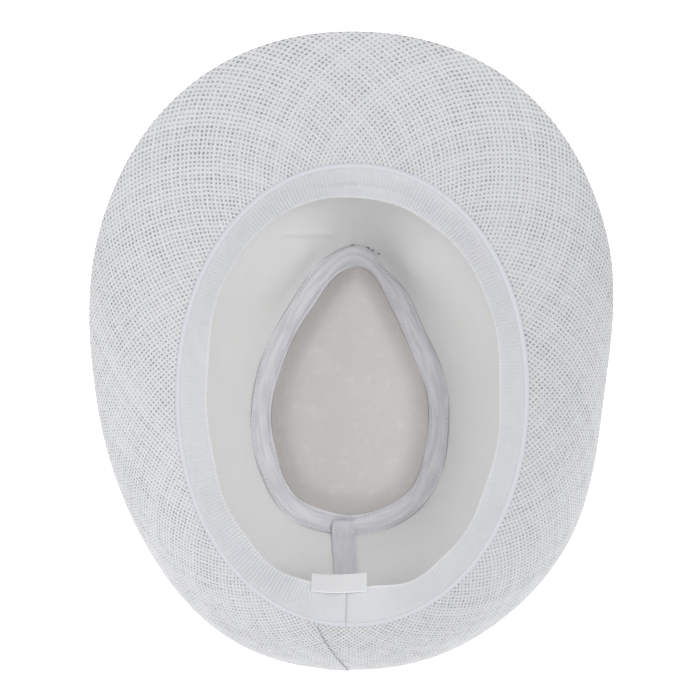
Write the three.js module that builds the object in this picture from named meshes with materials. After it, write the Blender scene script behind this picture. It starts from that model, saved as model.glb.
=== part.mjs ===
// A trilby of woven paper straw, lying on the crest of its crown with the opening up.
// Millimetres, +Z up, +Y towards the front of the hat. The origin is on the surface that the hat
// lies on, below the middle of its outline.
import * as THREE from "three";

const degrees = THREE.MathUtils.degToRad;

// Driving dimensions.
const FACETS = 56; // flat strips round the hat
const GAP = 0.35; // between two layers that are sewn together

// The hat's middle plane, a little off the middle of its outline, because the brim spreads more on
// one side.
const MIDDLE_X = 0.9;

// The opening is the oval where brim, crown and sweatband are sewn together. Its plane rises
// towards the front, because the crown is taller there.
const OPENING = { y: -17.3, z: 104.4, halfWidth: 78.9, halfLength: 103.8, power: 2.09, tilt: degrees(6) };

// The crest is the rounded edge of the crown's top, a teardrop with its narrow end in front. The hat
// lies on its flat band. Its middle line passes these places, every 30 degrees from the front
// towards +X, round a centre at centreY.
const CREST = [
  { x: 0.5, y: 61.6 },
  { x: 15, y: 54.1 },
  { x: 29, y: 29.1 },
  { x: 43, y: -4.4 },
  { x: 43, y: -38.9 },
  { x: 29.5, y: -64.4 },
  { x: 1.5, y: -73.9 },
  { x: -26.5, y: -66.4 },
  { x: -41.5, y: -41.4 },
  { x: -43.5, y: -6.9 },
  { x: -31, y: 26.1 },
  { x: -14.8, y: 51.1 },
];
const CREST_CENTRE_Y = -5.9;

const STRAW = 1.2; // thickness of the woven straw
const LINING = 0.8; // thickness of the lining cloth
const TAPE = 0.5; // thickness of the seam tapes

// The straw reaches this far out from the opening's oval, to leave room for lining and sweatband.
const SIDE_OUTSET = 1.4;
const SIDE_ROWS = [0, 0.2, 0.4, 0.6, 0.8, 1]; // share of the way from the opening to the crest
const SIDE_BULGE = 4.5; // how far the side's middle stands out from a straight slope
const PINCH = { depth: 8.5, angle: degrees(37), spread: degrees(21), power: 1.6 };

// The crest's cross-section, outwards from its middle line and up from the surface: the face
// inside the hat, and the face outside it.
const CREST_SECTION = [
  { inAcross: 6.6, inUp: 7.0, outAcross: 7.85, outUp: 6.6 },
  { inAcross: 5.4, inUp: 4.0, outAcross: 6.5, outUp: 3.2 },
  { inAcross: 3.8, inUp: 2.1, outAcross: 4.6, outUp: 1.1 },
  { inAcross: 2.0, inUp: 1.3, outAcross: 2.4, outUp: 0 },
  { inAcross: -2.0, inUp: 1.3, outAcross: -2.0, outUp: 0 },
];

// The dent of the top, seen from inside as a mound: how far in from the crest's middle line, and
// how high the straw's inner face stands there.
const DENT_SECTION = [
  { inward: 2.4, up: 1.3 },
  { inward: 4.2, up: 2.1 },
  { inward: 6.5, up: 4.6 },
  { inward: 9, up: 8.8 },
  { inward: 12, up: 13.4 },
  { inward: 15.5, up: 16.8 },
  { inward: 20, up: 18.6 },
];
const DENT_TOP = 19.8; // height of the dent's middle
const DENT_RINGS = [0.5]; // rings between the section's end and the middle, as a share of the way

// The brim at each angle from the front, towards +X: how far it spreads in the opening's plane,
// how far its edge lies below that plane, and how much of the bend comes late (0 straight, 1 all).
const BRIM = [
  { angle: 0, spread: 58.3, drop: -12, curl: 0.1 },
  { angle: 30, spread: 58.0, drop: -8, curl: 0.15 },
  { angle: 60, spread: 51.3, drop: 12, curl: 0.35 },
  { angle: 90, spread: 39.2, drop: 34, curl: 0.5 },
  { angle: 120, spread: 38.0, drop: 43, curl: 0.5 },
  { angle: 150, spread: 31.4, drop: 46, curl: 0.5 },
  { angle: 180, spread: 27.7, drop: 47, curl: 0.5 },
  { angle: 210, spread: 31.3, drop: 46, curl: 0.5 },
  { angle: 240, spread: 33.9, drop: 42, curl: 0.45 },
  { angle: 270, spread: 41.2, drop: 32, curl: 0.35 },
  { angle: 300, spread: 51.6, drop: 10, curl: 0.25 },
  { angle: 330, spread: 58.0, drop: -8, curl: 0.1 },
];
const BRIM_THICK = 1.3;
const BRIM_ROWS = 7; // steps from the opening to the edge

// The sweatband, and how many degrees it leans in at every 30 degrees from the front.
const SWEATBAND = { width: 26, thick: 0.9 };
const SWEATBAND_LEAN = [26.5, 25.5, 19, 20.5, 19.5, 20, 32, 24, 23, 24.5, 17.5, 20.5];
const SWEATBAND_ROWS = 3;

// The tape in the groove of the crest: places of its lower face across the crest.
const TIP_TAPE_SECTION = [
  { across: 4.5, up: 6.6 },
  { across: 2.6, up: 3.6 },
  { across: 0.4, up: 2.85 },
  { across: -2.6, up: 3.1 },
  { across: -5.2, up: 5.5 },
];
const BACK_TAPE = { width: 11.5, across: -3, from: 0.14, to: 0.97, rows: 5, columns: 2 };
const LABEL = { width: 25, height: 13, thick: 0.6, across: -4.5, top: 20.5, gap: 0.6 };

// The lining's foot turns in along the crest: places of its inner and outer faces there.
const LINING_FOOT = [
  { inAcross: 4.45, inUp: 4.75, outAcross: 5.15, outUp: 4.3 },
  { inAcross: 3.1, inUp: 3.1, outAcross: 3.6, outUp: 2.5 },
  { inAcross: 0.6, inUp: 2.45, outAcross: 0.6, outUp: 1.65 },
];

// A number's power that keeps its sign.
function signedPower(value, power) {
  return Math.sign(value) * Math.abs(value) ** power;
}

// A smooth hump of height 1 round a middle.
function hump(value, middle, spread) {
  return Math.exp(-(((value - middle) / spread) ** 2));
}

// A place given in the opening's plane: across, forward in the plane, and up out of the hat.
function fromOpening(across, forward, up) {
  const cos = Math.cos(OPENING.tilt);
  const sin = Math.sin(OPENING.tilt);
  return new THREE.Vector3(
    MIDDLE_X + across,
    OPENING.y + forward * cos - up * sin,
    OPENING.z + forward * sin + up * cos,
  );
}

// The opening's oval at an angle from the front, moved outwards in its plane and up out of it.
function opening(angle, outwards, up) {
  const share = 2 / OPENING.power;
  const across = OPENING.halfWidth * signedPower(Math.sin(angle), share);
  const forward = OPENING.halfLength * signedPower(Math.cos(angle), share);
  const normal = new THREE.Vector2(
    signedPower(across / OPENING.halfWidth, OPENING.power - 1) / OPENING.halfWidth,
    signedPower(forward / OPENING.halfLength, OPENING.power - 1) / OPENING.halfLength,
  ).normalize();
  return fromOpening(across + normal.x * outwards, forward + normal.y * outwards, up);
}

// A smooth closed curve through places that are evenly spread round the hat.
function closedCurve(places) {
  return new THREE.CatmullRomCurve3(places, true, "catmullrom");
}

// An angle as a share of a full turn, from 0 to 1.
function turnOf(angle) {
  return (angle / (2 * Math.PI) + 1) % 1;
}

const crestCurve = closedCurve(CREST.map((at) => new THREE.Vector3(at.x, at.y, 0)));

// The middle line of the crest at an angle, on the surface that the hat lies on.
function crestLine(angle) {
  return crestCurve.getPoint(turnOf(angle));
}

// The level direction that points away from the crest's middle line at an angle.
function crestNormal(angle) {
  const step = 0.02;
  const along = crestLine(angle + step).sub(crestLine(angle - step));
  return new THREE.Vector3(-along.y, along.x, 0).normalize();
}

// A place beside the crest's middle line: outwards along its normal, inwards towards its centre.
function besideCrest(angle, across, up) {
  const line = crestLine(angle);
  const normal = crestNormal(angle);
  if (across > 0) return line.addScaledVector(normal, across).setZ(up);
  const centre = new THREE.Vector3(MIDDLE_X, CREST_CENTRE_Y, 0);
  const spoke = line.clone().sub(centre);
  return centre.addScaledVector(spoke, 1 + across / spoke.dot(normal)).setZ(up);
}

// The brim's upper face here is its underside when worn.
const brimCurve = closedCurve(BRIM.map((at) => new THREE.Vector3(at.spread, at.drop, at.curl)));

// How far out and down the brim has come after a share of its width: a bend whose middle handle
// stands between a straight slope and a square corner.
function brimSection(angle, share) {
  const { x: spread, y: drop, z: curl } = brimCurve.getPoint(turnOf(angle));
  const handle = 2 * share * (1 - share);
  const end = share * share;
  return {
    out: spread * ((handle * (1 + curl)) / 2 + end),
    down: drop * ((handle * (1 - curl)) / 2 + end),
  };
}

function brimPlace(angle, share, thickness) {
  const step = 0.01;
  const at = brimSection(angle, share);
  const before = brimSection(angle, share - step);
  const after = brimSection(angle, share + step);
  const run = after.out - before.out;
  const fall = after.down - before.down;
  const length = Math.hypot(run, fall);
  const out = GAP + at.out - (thickness * fall) / length;
  return opening(angle, Math.max(out, GAP), -at.down - (thickness * run) / length);
}

// How far below the opening's plane the crown's straw starts, to clear the brim's lower face.
function underBrim(angle) {
  const near = brimSection(angle, 0.02);
  const slope = near.down / near.out;
  const reach = slope > 0 ? SIDE_OUTSET + STRAW : SIDE_OUTSET;
  return BRIM_THICK * Math.hypot(1, slope) + GAP + slope * reach;
}

// How far the pinches push the crown's side in.
function pinch(angle, share) {
  const turned = Math.atan2(Math.sin(angle), Math.cos(angle));
  const round = hump(Math.abs(turned), PINCH.angle, PINCH.spread);
  return PINCH.depth * round * Math.sin(Math.PI * share ** PINCH.power) ** 2;
}

// The inner face of the crown's side, from the opening (share 0) to the crest (share 1).
function sideFace(angle, share) {
  const top = opening(angle, SIDE_OUTSET, -underBrim(angle));
  const bottom = besideCrest(angle, CREST_SECTION[0].inAcross, CREST_SECTION[0].inUp);
  const out = SIDE_BULGE * Math.sin(Math.PI * share) - pinch(angle, share);
  return top.lerp(bottom, share).addScaledVector(crestNormal(angle), out);
}

// The outward normal of the crown's side.
function sideNormal(angle, share) {
  const step = 0.02;
  const round = sideFace(angle + step, share).sub(sideFace(angle - step, share));
  const low = Math.max(share - step, 0);
  const high = Math.min(share + step, 1);
  const down = sideFace(angle, high).sub(sideFace(angle, low));
  return round.cross(down).normalize();
}

// A place off the inner face of the crown's side, outwards or, below zero, into the hat.
function offSide(angle, share, outwards) {
  return sideFace(angle, share).addScaledVector(sideNormal(angle, share), outwards);
}

// A row of a shell is one place for each strip round the hat.
function ringRow(place) {
  return Array.from({ length: FACETS }, (_, i) => place((i / FACETS) * 2 * Math.PI));
}

// A geometry from closed rows of equal length. Each row joins the next, and the last joins the
// first where the section closes on itself. Past a middle row the faces are split along their
// other diagonal, so that two nested layers are split alike and keep their gap.
function shellGeometry(rows, { closedSection, middle = rows.length, poles = [] }) {
  const length = rows[0].length;
  const points = [...rows.flat(), ...poles];
  const faces = [];
  const rowSteps = closedSection ? rows.length : rows.length - 1;
  for (let row = 0; row < rowSteps; row += 1) {
    for (let column = 0; column < length; column += 1) {
      const a = row * length + column;
      const b = row * length + ((column + 1) % length);
      const c = ((row + 1) % rows.length) * length + ((column + 1) % length);
      const d = ((row + 1) % rows.length) * length + column;
      if (row < middle) faces.push(a, b, c, a, c, d);
      else faces.push(a, b, d, b, c, d);
    }
  }
  const firstPole = rows.length * length;
  const lastRow = (rows.length - 1) * length;
  for (let column = 0; column < length && poles.length; column += 1) {
    const next = (column + 1) % length;
    faces.push(firstPole, next, column);
    faces.push(firstPole + 1, lastRow + column, lastRow + next);
  }
  const geometry = new THREE.BufferGeometry().setFromPoints(points);
  geometry.setIndex(faces);
  geometry.computeVertexNormals();
  return geometry;
}

// A wall that runs all round the hat, from the rows of its inner and outer faces.
function ringWall(inner, outer) {
  const rows = [...outer, ...[...inner].reverse()];
  return shellGeometry(rows.map(ringRow), { closedSection: true, middle: outer.length });
}

// A strip of cloth from two grids of places, with its thickness between them.
function stripWall(inner, outer) {
  const rows = inner.map((row, i) => [...row, ...[...outer[i]].reverse()]);
  const geometry = shellGeometry(rows, { closedSection: false });
  const length = rows[0].length;
  const faces = [...geometry.index.array];
  const half = length / 2;
  const last = (rows.length - 1) * length;
  for (let i = 0; i < half - 1; i += 1) {
    const far = length - 1 - i;
    faces.push(i, far, i + 1, i + 1, far, far - 1);
    faces.push(last + i, last + i + 1, last + far, last + i + 1, last + far - 1, last + far);
  }
  geometry.setIndex(faces);
  return geometry;
}

// The dent's section moved off by a thickness along its own normal.
function dentSection(offset) {
  return DENT_SECTION.map((at, i) => {
    const before = DENT_SECTION[Math.max(i - 1, 0)];
    const after = DENT_SECTION[Math.min(i + 1, DENT_SECTION.length - 1)];
    const run = after.inward - before.inward;
    const rise = after.up - before.up;
    const length = Math.hypot(run, rise);
    return { inward: at.inward - (offset * rise) / length, up: at.up + (offset * run) / length };
  });
}

// Rows of one face of the dented top, from the crest to near the middle.
function dentRows(offset) {
  const section = dentSection(offset);
  const rows = section.map((at) => (angle) => besideCrest(angle, -at.inward, at.up));
  const end = section[section.length - 1];
  const centre = dentCentre(offset);
  const rings = DENT_RINGS.map((share) => (angle) => {
    const rim = besideCrest(angle, -end.inward, end.up);
    const place = rim.clone().lerp(centre, share);
    return place.setZ(THREE.MathUtils.lerp(rim.z, centre.z, 1 - (1 - share) ** 2));
  });
  return [...rows, ...rings];
}

function dentCentre(offset) {
  return new THREE.Vector3(MIDDLE_X, CREST_CENTRE_Y, DENT_TOP + offset);
}

// The dented top as a closed cap between two faces.
function dentWall(lower, upper) {
  const top = dentRows(upper).reverse();
  const rows = [...top, ...dentRows(lower)].map(ringRow);
  const poles = [dentCentre(upper), dentCentre(lower)];
  return shellGeometry(rows, { closedSection: false, middle: top.length, poles });
}

function makeBrim() {
  const shares = Array.from({ length: BRIM_ROWS + 1 }, (_, i) => i / BRIM_ROWS);
  const upper = shares.map((share) => (angle) => brimPlace(angle, share, 0));
  const lower = shares.map((share) => (angle) => brimPlace(angle, share, BRIM_THICK));
  return ringWall(lower, upper);
}

function makeCrownSide() {
  const inner = SIDE_ROWS.map((share) => (angle) => offSide(angle, share, 0));
  const outer = SIDE_ROWS.slice(0, -1).map((share) => (angle) => offSide(angle, share, STRAW));
  for (const at of CREST_SECTION.slice(1)) inner.push((angle) => besideCrest(angle, at.inAcross, at.inUp));
  for (const at of CREST_SECTION) outer.push((angle) => besideCrest(angle, at.outAcross, at.outUp));
  return ringWall(inner, outer);
}

function makeSideLining() {
  const shares = [0.02, ...SIDE_ROWS.slice(1)];
  const inner = shares.map((share) => (angle) => offSide(angle, share, -GAP - LINING));
  const outer = shares.map((share) => (angle) => offSide(angle, share, -GAP));
  for (const at of LINING_FOOT) {
    inner.push((angle) => besideCrest(angle, at.inAcross, at.inUp));
    outer.push((angle) => besideCrest(angle, at.outAcross, at.outUp));
  }
  return ringWall(inner, outer);
}

// The tape's thickness is laid towards the inside of the groove.
function makeTipTape() {
  const lower = TIP_TAPE_SECTION.map((at) => (angle) => besideCrest(angle, at.across, at.up));
  const upper = TIP_TAPE_SECTION.map((at) => (angle) => besideCrest(angle, at.across * 0.97, at.up + TAPE));
  return ringWall(upper, lower);
}

const leanCurve = closedCurve(SWEATBAND_LEAN.map((lean) => new THREE.Vector3(degrees(lean), 0, 0)));

// A place on the sweatband: down its width, and in from its outer face.
function sweatbandPlace(angle, down, inwards) {
  const lean = leanCurve.getPoint(turnOf(angle)).x;
  const out = -down * Math.sin(lean) - inwards * Math.cos(lean);
  const up = GAP - down * Math.cos(lean) + inwards * Math.sin(lean);
  return opening(angle, out, up);
}

function makeSweatband() {
  const steps = Array.from({ length: SWEATBAND_ROWS + 1 }, (_, i) => (i / SWEATBAND_ROWS) * SWEATBAND.width);
  const inner = steps.map((down) => (angle) => sweatbandPlace(angle, down, SWEATBAND.thick));
  const outer = steps.map((down) => (angle) => sweatbandPlace(angle, down, 0));
  return ringWall(inner, outer);
}

// A grid of places: one row for each value of the first list, one column for each of the second.
function grid(rows, columns, place) {
  return rows.map((row) => columns.map((column) => place(row, column)));
}

function evenly(from, to, steps) {
  return Array.from({ length: steps + 1 }, (_, i) => from + ((to - from) * i) / steps);
}

// The tape down the back seam, on the lining's inner face.
function makeBackTape() {
  const lies = -GAP - LINING - GAP;
  const left = BACK_TAPE.across - BACK_TAPE.width / 2;
  const place = (offset) => (share, across) => {
    const turn = across / (sideFace(Math.PI / 2, share).x - MIDDLE_X);
    return offSide(Math.PI - turn, share, offset).setX(MIDDLE_X + across);
  };
  const shares = evenly(BACK_TAPE.from, BACK_TAPE.to, BACK_TAPE.rows);
  const columns = evenly(left, left + BACK_TAPE.width, BACK_TAPE.columns);
  return stripWall(grid(shares, columns, place(lies - TAPE)), grid(shares, columns, place(lies)));
}

// The label lies on the inner face of the sweatband and hangs past its free edge.
function makeLabel() {
  const lies = SWEATBAND.thick + LABEL.gap;
  const place = (inwards) => (down, across) => {
    const narrowed = OPENING.halfWidth - down * Math.sin(leanCurve.getPoint(0.5).x);
    const turn = Math.asin(signedPower(across / narrowed, OPENING.power / 2));
    return sweatbandPlace(Math.PI - turn, down, inwards).setX(MIDDLE_X + across);
  };
  const downs = evenly(LABEL.top, LABEL.top + LABEL.height, 1);
  const columns = evenly(LABEL.across - LABEL.width / 2, LABEL.across + LABEL.width / 2, 4);
  return stripWall(grid(downs, columns, place(lies + LABEL.thick)), grid(downs, columns, place(lies)));
}

function cloth(color, roughness) {
  return new THREE.MeshStandardMaterial({ color, roughness, metalness: 0, side: THREE.DoubleSide });
}

const straw = cloth("#e4e6ea", 0.75);
const liningCloth = cloth("#d8d6d3", 0.95);
const ribbed = cloth("#dfe1e8", 0.8);
const tapeCloth = cloth("#c9c7ce", 0.85);
const labelCloth = cloth("#ececee", 0.7);

// Every piece by its name, with its own material.
const pieces = {
  brim: [makeBrim(), straw],
  crown_side: [makeCrownSide(), straw.clone()],
  crown_tip: [dentWall(-STRAW, 0), straw.clone()],
  side_lining: [makeSideLining(), liningCloth],
  tip_lining: [dentWall(GAP, GAP + LINING), liningCloth.clone()],
  sweatband: [makeSweatband(), ribbed],
  tip_seam_tape: [makeTipTape(), tapeCloth],
  back_seam_tape: [makeBackTape(), tapeCloth.clone()],
  label: [makeLabel(), labelCloth],
};

const hat = new THREE.Group();
for (const [name, [geometry, material]] of Object.entries(pieces)) {
  const mesh = new THREE.Mesh(geometry, material);
  mesh.name = name;
  hat.add(mesh);
}

export default hat;
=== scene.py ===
"""A white woven paper trilby lying on the crest of its crown, seen into its opening.

Lengths are in millimetres until a mesh is made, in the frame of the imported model: +Z up out of the
opening, +Y towards the front of the hat. Angles run round the hat from its front towards +X.
"""

import math

import bpy
import numpy as np
from mathutils import Matrix, Vector


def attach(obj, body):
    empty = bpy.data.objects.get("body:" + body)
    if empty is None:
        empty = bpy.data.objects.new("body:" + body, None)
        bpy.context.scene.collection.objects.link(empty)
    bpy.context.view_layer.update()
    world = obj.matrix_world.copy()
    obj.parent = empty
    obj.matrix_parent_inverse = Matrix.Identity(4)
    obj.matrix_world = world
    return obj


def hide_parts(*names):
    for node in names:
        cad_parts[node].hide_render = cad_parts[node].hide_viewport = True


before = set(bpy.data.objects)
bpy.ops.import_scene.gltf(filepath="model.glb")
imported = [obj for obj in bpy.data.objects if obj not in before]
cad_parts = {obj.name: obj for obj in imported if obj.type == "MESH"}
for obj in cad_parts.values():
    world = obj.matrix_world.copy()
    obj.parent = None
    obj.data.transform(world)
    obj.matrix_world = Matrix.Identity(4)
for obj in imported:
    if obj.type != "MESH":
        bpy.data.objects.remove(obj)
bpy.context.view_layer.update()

MM = 0.001
FULL_TURN = 2 * math.pi
# Faces that meet at a steeper angle have a sharp edge between them.
SHARP_FROM = math.radians(75)

# The hat's form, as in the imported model.
MIDDLE_X = 0.9
GAP = 0.35
STRAW = 1.2
LINING = 0.8
TAPE = 0.5
OPENING_Y = -17.3
OPENING_Z = 104.4
OPENING_HALF_WIDTH = 78.9
OPENING_HALF_LENGTH = 103.8
OPENING_POWER = 2.09
OPENING_TILT = math.radians(6)
CREST_Y = -5.9
SIDE_OUTSET = 1.4
SIDE_BULGE = 4.5
PINCH_DEPTH = 8.5
PINCH_ANGLE = math.radians(37)
PINCH_SPREAD = math.radians(21)
PINCH_POWER = 1.6
BRIM_THICK = 1.3

# The middle line of the crest every 30 degrees from the front: x and y.
CREST_LINE = [
    (0.5, 61.6),
    (15, 54.1),
    (29, 29.1),
    (43, -4.4),
    (43, -38.9),
    (29.5, -64.4),
    (1.5, -73.9),
    (-26.5, -66.4),
    (-41.5, -41.4),
    (-43.5, -6.9),
    (-31, 26.1),
    (-14.8, 51.1),
]

# The crest's cross-section: across from its middle line and up, for the straw's inner and outer face.
CREST_INNER = [(6.6, 7.0), (5.4, 4.0), (3.8, 2.1), (2.0, 1.3), (-2.0, 1.3)]
CREST_OUTER = [(7.85, 6.6), (6.5, 3.2), (4.6, 1.1), (2.4, 0.0), (-2.0, 0.0)]

# The dent seen from inside: how far in from the crest's middle line, and how high.
DENT_SECTION = [(2.4, 1.3), (4.2, 2.1), (6.5, 4.6), (9, 8.8), (12, 13.4), (15.5, 16.8), (20, 18.6)]
DENT_TOP = 19.8

# The brim every 30 degrees from the front: spread, drop and curl.
BRIM_SECTIONS = [
    (58.3, -12, 0.1),
    (58.0, -8, 0.15),
    (51.3, 12, 0.35),
    (39.2, 34, 0.5),
    (38.0, 43, 0.5),
    (31.4, 46, 0.5),
    (27.7, 47, 0.5),
    (31.3, 46, 0.5),
    (33.9, 42, 0.45),
    (41.2, 32, 0.35),
    (51.6, 10, 0.25),
    (58.0, -8, 0.1),
]

# The weave of the straw: periods round the hat and across, its relief, and its seeds.
BRIM_TURNS = 262
BRIM_PERIODS = 22
BRIM_WIDENING = -0.13
BRIM_EVEN_AT = 0.45
SIDE_TURNS = 190
SIDE_PERIODS = 40
SIDE_NARROWING = -0.37
YARN_LIFT = 0.16
HOLE_DEPTH = 0.24
UNEVENNESS = 0.35
BRIM_SEED = 3
SIDE_SEED = 5

# The brim's edge: how far it reaches, where and how much the relief is pressed flat, and the part
# of a period that it takes.
BRIM_EDGE = 1.006
PRESSED_FROM = 0.96
PRESSED = 0.8
EDGE_PERIOD = 0.25

# Where the crown's side ends at the crest, and the mesh and relief of the crest.
SIDE_END = 0.985
CREST_STEPS = 12
CREST_INNER_STEPS = 4
SIDE_INNER_ROWS = 9
RELIEF_AT_CREST = 0.6

# The dented top's mesh.
DENT_COLUMNS = 240
DENT_FLANK_STEPS = 26
DENT_TOP_STEPS = 14

# The brim's join at the back: the angle off the middle where it starts, how it bends towards the
# middle at the edge, how far and how wide one end lies over the other, and what a radian measures.
SEAM_START = math.radians(10.3)
SEAM_BEND = 1.9
SEAM_LIFT = 0.42
SEAM_WIDTH = 6.0
SEAM_STEP = 0.6
SEAM_REACH = 100

# The lining: rows of its foot on the crest for its inner and outer face, and its mesh. Its
# lengths down and round are those of the uvs.
LINING_FOOT_INNER = [(4.45, 4.75), (3.1, 3.1), (0.6, 2.45)]
LINING_FOOT_OUTER = [(5.15, 4.3), (3.6, 2.5), (0.6, 1.65)]
LINING_COLUMNS = 360
LINING_ROWS = 90
SIDE_HEIGHT = 100
HEAD_ROUND = 580
LINING_FROM = 0.02

# A table of waves: how many go round, how far they turn across, where they start, their height.
LINING_WAVES = [(5, 2.1, 0.6, 0.25), (11, -3.4, 1.9, 0.15)]
LINING_WAVES_MEAN = 0.4

# The crease in the side lining left of the front: its two ends, its half width and its height.
CREASE_FROM = math.radians(-34)
CREASE_TO = math.radians(-9)
CREASE_FROM_SHARE = 0.42
CREASE_TO_SHARE = 0.86
CREASE_SPREAD = 0.02
CREASE_LIFT = 1.2

# The sweatband: its size, its lean every 30 degrees, its ribs, its hem and its lip on the brim.
SWEATBAND_WIDTH = 26
SWEATBAND_THICK = 0.9
SWEATBAND_LEAN = [26.5, 25.5, 19, 20.5, 19.5, 20, 32, 24, 23, 24.5, 17.5, 20.5]
RIBS = 322
RIB_DEPTH = 0.34
# How strongly the ribs show, every 30 degrees from the front.
RIB_STRENGTH = [0.45, 1.15, 1.0, 0.4, 0.3, 0.2, 0.12, 0.9, 0.95, 0.3, 0.5, 0.75]
RIB_COLUMNS = 6
SWEATBAND_ROWS = 16
HEM_WIDTH = 1.6
HEM_LIFT = 0.22
HEM_SLOPE = 0.6
RIB_FADE = 6
LIP_SHARE = 0.012
LIP_LIFT = 0.1
LIP_THICK = 0.15

# The waver of its free edge, in front and how much more behind.
WAVER = [(13, 0, 0.7, 1)]
WAVER_IN_FRONT = 0.15
WAVER_MORE_BEHIND = 0.5

# The crease along it at the front: depth, share of the width, half width and angle.
BAND_CREASE_DEPTH = 0.5
BAND_CREASE_AT = 0.62
BAND_CREASE_HALF = 1.6
BAND_CREASE_SPREAD = 0.55

# The join in the sweatband: its angle, the millimetres that one radian measures there, and the
# step's height and half width.
JOINT_ANGLE = math.radians(181)
OPENING_REACH = 92
JOINT_LIFT = 0.45
JOINT_STEP = 0.3

# The tape over the seam between side and top: its lower face across the crest, its mesh and folds.
TAPE_SECTION = [(4.95, 7.1), (2.8, 3.7), (0.4, 2.85), (-2.6, 3.1), (-5.2, 5.2)]
TAPE_COLUMNS = 300
TAPE_STEPS = 20
TAPE_ROUND = 350
TAPE_WIDTH = 14
TAPE_EDGE_THICK = 0.12
TAPE_EDGE_SHARE = 0.08
TAPE_TOP_SCALE = 0.97
TAPE_WANDER = [(2, 0, 0.4, 0.1), (7, 0, 0, 0.04)]
TAPE_PUCKERS = [(26, 3, 0, 0.16), (41, 0, 1.3, 0.1)]
TAPE_WAVY_EDGES = [(9, 5, 0, 0.35)]
KNOT_ANGLE = math.radians(300)
TAPE_FOLD_ANGLE = math.radians(295)
# Beside its nose the tape is narrower: where, and how far its outer and inner edge move inwards.
TAPE_NARROW_ANGLE = math.radians(30)
TAPE_NARROW_SPREAD = math.radians(14)
TAPE_PULLED_IN = 2.3
TAPE_PULLED_OUT = -0.8

# The tape down the back seam, its lean and its mesh.
BACK_TAPE_WIDTH = 11.5
BACK_TAPE_ACROSS = -3.4
BACK_TAPE_LEAN = 5.0
BACK_TAPE_LEANS_TO = 0.55
BACK_TAPE_FROM = 0.14
BACK_TAPE_TO = 0.97
BACK_TAPE_COLUMNS = 15
BACK_TAPE_ROWS = 50
# Its end lies over the other tape: places across the crest and up.
BACK_TAPE_END = [(5.0, 7.6), (4.0, 6.4), (3.0, 5.7), (2.0, 5.1), (0.8, 4.7), (-0.6, 4.6), (-2.0, 4.8)]
# How much narrower its rounded end is in each of those rows, from its left side.
BACK_TAPE_ROUNDED = [0, 0, 0, 0, 0.02, 0.08, 0.22]
# What one radian measures at the crest's back.
CREST_REACH = 44

# The bare label at the back of the sweatband.
LABEL_WIDTH = 25.6
LABEL_HEIGHT = 13
LABEL_THICK = 0.6
LABEL_ACROSS = -4.9
LABEL_TOP = 20.5
LABEL_GAP = 0.6
LABEL_TILT = 1.5
LABEL_CURL = 0.5
LABEL_COLUMNS = 31
LABEL_ROWS = 17

# The stitches that show: the mesh of each, the fine thread's radius, and how far they stand off.
THREAD_SIDES = 6
THREAD_RINGS = 5
FINE_THREAD = 0.16
STITCH_LIFT = 0.1
JOIN_PITCH = 2.6
JOIN_LENGTH = 1.7
JOIN_RADIUS = 0.2
TAPE_STITCHES = 150
TAPE_STITCH_SHARES = [0.1, 0.88]
SEAM_STITCHES = 24
SEAM_STITCH_HALF = 0.018

# Loose threads beside the tape's nose: angles in degrees, and how long they are.
LOOSE_THREADS = [0.5, 12, 16, 20.5]
LOOSE_TURN = math.radians(2.6)

# Gloss and colours of the cloths. A shade is where the same cloth is a little darker: at random in the
# linings and the band, but painted shade on the straw's low yarns and in the tapes' folds.
CLOTH_GLOSS = 0.2
# The straw's yarns are painted lighter on their tops as a highlight and darker where they lie low as
# shade.
YARN_COLOR = (0.79, 0.795, 0.815, 1)
YARN_PAINTED_SHADE = (0.56, 0.565, 0.585, 1)
# The dark grey painted into the holes as the shade in them.
PAINTED_HOLE_SHADE = (0.36, 0.365, 0.375, 1)
SIDE_LINING_COLOR = (0.91, 0.91, 0.905, 1)
SIDE_LINING_SHADE = (0.885, 0.885, 0.88, 1)
TIP_LINING_COLOR = (0.68, 0.65, 0.63, 1)
TIP_LINING_SHADE = (0.645, 0.615, 0.595, 1)
BAND_COLOR = (0.85, 0.86, 0.89, 1)
BAND_SHADE = (0.825, 0.835, 0.87, 1)
# The tapes are painted darker in their soft folds, as shade.
TAPE_COLOR = (0.855, 0.855, 0.895, 1)
TAPE_FOLD_SHADE = (0.73, 0.73, 0.775, 1)
BACK_TAPE_COLOR = (0.80, 0.80, 0.845, 1)
BACK_TAPE_FOLD_SHADE = (0.74, 0.74, 0.79, 1)
LABEL_COLOR = (0.95, 0.955, 0.965, 1)
BLUE_THREAD = (0.78, 0.80, 0.88, 1)
GREY_THREAD = (0.6, 0.59, 0.62, 1)
DARK_THREAD = (0.25, 0.245, 0.26, 1)
# The seam's thread is painted very dark, as stitches and as the shade in the join's groove.
SEAM_THREAD_AND_SHADE = (0.28, 0.285, 0.3, 1)
FLOOR_COLOR = (0.9, 0.9, 0.9, 1)

# How the straw's yarns cross and vary, and its holes, which are painted dark as the shade in them.
OVER_AND_UNDER = 0.6
HOLE_VARIETY = 0.6
PATCHINESS = 0.5
# Painted shade: the brim's paper is painted a little greyer on the side towards +X, as the shade on that
# side.
PAINTED_SIDE_SHADE = 0.04
HOLE_STARTS = 0.62
HOLE_FULL = 1.0
YARN_VARIETY = 0.38
YARN_DRIFT = 0.7

# How far the linings' weave shows as light and dark and as relief, and its small loose spots.
LINING_BRIGHT = 0.955
EVEN_WEAVE = 0.02
EVEN_RELIEF = 0.5
WEAVE_MEAN = 0.4
SIDE_LINING_PITCH = 0.8
TIP_LINING_PITCH = 1.3
LOOSE_WEAVE = 0.055
LOOSE_SPOTS_SCALE = 0.15
LOOSE_SPOTS_START = 0.6
LOOSE_SPOTS_FULL = 0.68

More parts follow.
